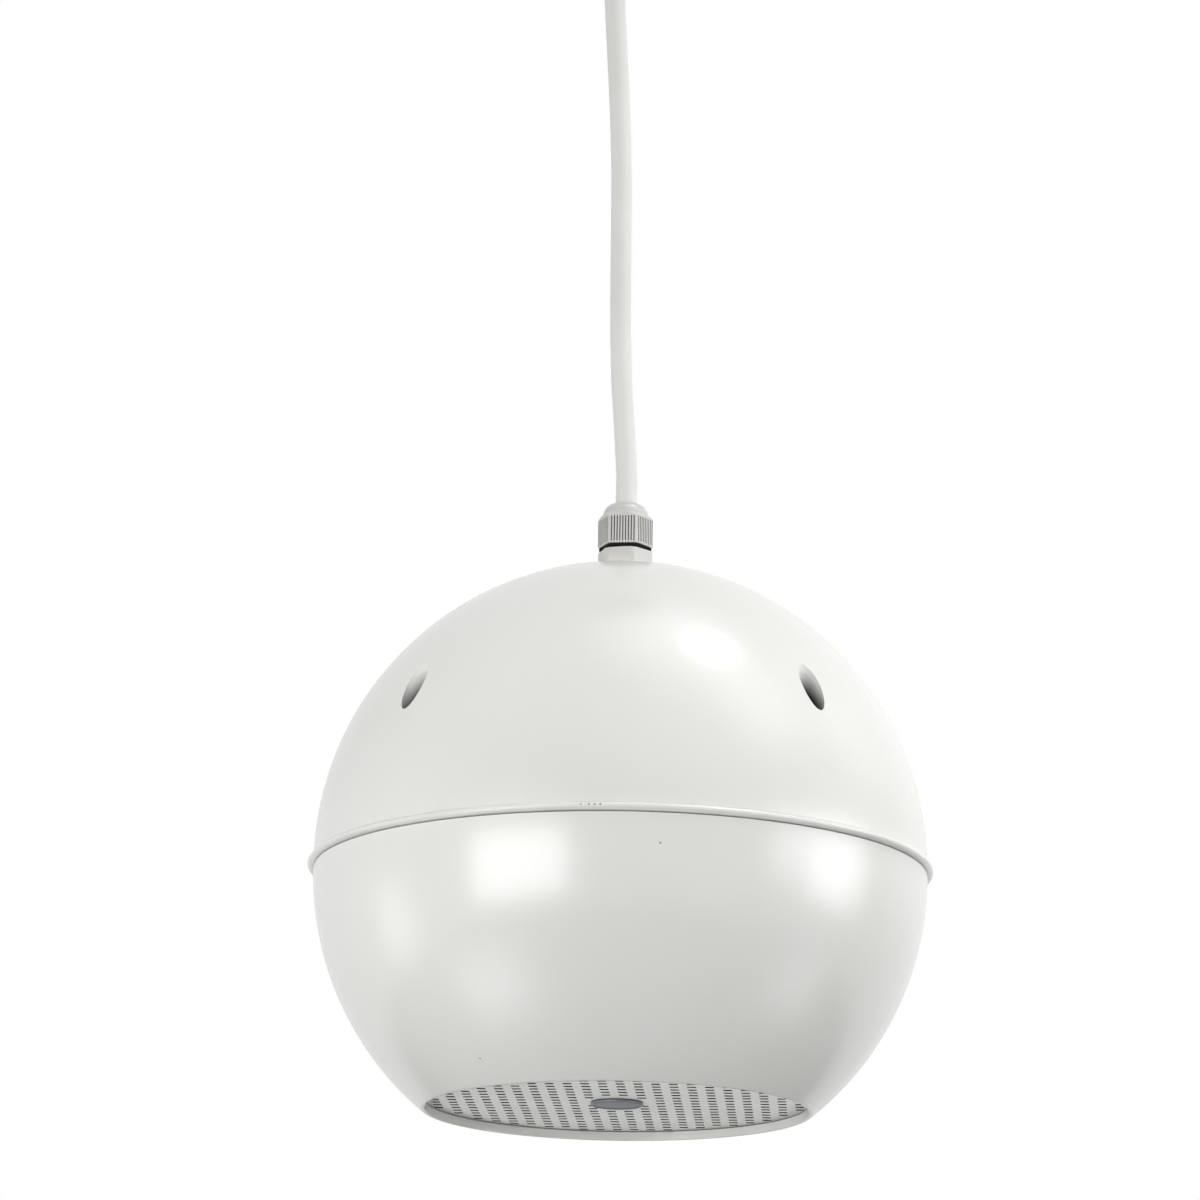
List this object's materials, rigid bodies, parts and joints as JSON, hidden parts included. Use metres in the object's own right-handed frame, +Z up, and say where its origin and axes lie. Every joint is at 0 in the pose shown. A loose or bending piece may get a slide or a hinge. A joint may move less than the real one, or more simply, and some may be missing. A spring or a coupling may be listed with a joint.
{
  "type": "pendant ball speaker",
  "caption": "White two-part ball loudspeaker hanging on its own cord from a ceiling cup, with a punched grille underneath.",
  "frame": {"origin": "Middle of the ceiling bracket's flat top face, where the speaker is screwed to the ceiling.", "axes": "+Z up along the ball's axis, +X to the object's right and -Y towards the picture's side. The ball hangs straight below the origin."},
  "size_m": [0.1874, 0.1874, 0.4679],
  "materials": {
    "ball_white": "moulded, glossy, slightly warm white",
    "grille_white": "powder coated punched sheet",
    "badge_grey": "plain satin disc",
    "black_cloth": "thin woven dust cloth",
    "foam_grey": "closed cell foam",
    "zinc_steel": "bright zinc plate",
    "basket_steel": "pressed and plated",
    "ferrite": "sintered, matt",
    "copper": "enamelled copper wire",
    "cone_paper": "black pressed pulp",
    "edge_cloth": "doped cloth",
    "spider_cloth": "impregnated cotton",
    "tag_board": "bonded board with tinned tags",
    "gland_grey": "nylon, light grey",
    "seal_rubber": "black rubber",
    "cord_white": "white flexible sheath",
    "core_iron": "stacked laminations, varnished",
    "black_plastic": "moulded",
    "winding_tape": "yellow insulating tape",
    "core_brown": "insulated core",
    "core_blue": "insulated core",
    "cup_white": "moulded, satin",
    "nylon_white": "natural nylon",
    "block_white": "moulded"
  },
  "bodies": {
    "housing": {"upper_shell": "ball_white", "lower_shell": "ball_white", "housing_screw_1": "zinc_steel", "housing_screw_2": "zinc_steel", "housing_screw_3": "zinc_steel", "housing_screw_4": "zinc_steel", "grille": "grille_white", "grille_badge": "badge_grey", "grille_cloth": "black_cloth", "driver_gasket": "foam_grey", "basket": "basket_steel", "driver_screw_1": "zinc_steel", "driver_screw_2": "zinc_steel", "driver_screw_3": "zinc_steel", "driver_screw_4": "zinc_steel", "top_plate": "zinc_steel", "magnet": "ferrite", "back_yoke": "zinc_steel", "surround": "edge_cloth", "spider": "spider_cloth", "tag_board": "tag_board", "gland_body": "gland_grey", "gland_seal": "seal_rubber", "gland_gasket": "seal_rubber", "gland_ring": "seal_rubber", "gland_nut": "gland_grey", "gland_locknut": "gland_grey", "cord": "cord_white", "transformer_core": "core_iron", "transformer_bobbin": "black_plastic", "transformer_winding": "winding_tape", "transformer_frame": "zinc_steel", "transformer_screw_1": "zinc_steel", "transformer_screw_2": "zinc_steel", "terminal_block": "black_plastic", "core_wire_1": "core_brown", "core_wire_2": "core_blue", "speaker_lead_1": "core_brown", "speaker_lead_2": "core_blue", "ceiling_bracket": "zinc_steel", "ceiling_cup": "cup_white", "cup_screw_1": "zinc_steel", "cup_screw_2": "zinc_steel", "grip_bush": "nylon_white", "grip_nut": "nylon_white", "grip_screw": "nylon_white", "rose_terminal_block": "block_white", "rose_wire_1": "core_brown", "rose_wire_2": "core_blue"},
    "cone_assembly": {"cone": "cone_paper", "voice_coil": "copper", "dust_cap": "cone_paper"}
  },
  "joints": [
    {"name": "cone_travel", "type": "slide", "parent": "housing", "child": "cone_assembly", "axis": [0, 0, 1], "range_m": [-0.0015, 0.0015], "stiffness_N_per_m": 1500, "deforming": ["surround", "spider"]}
  ]
}
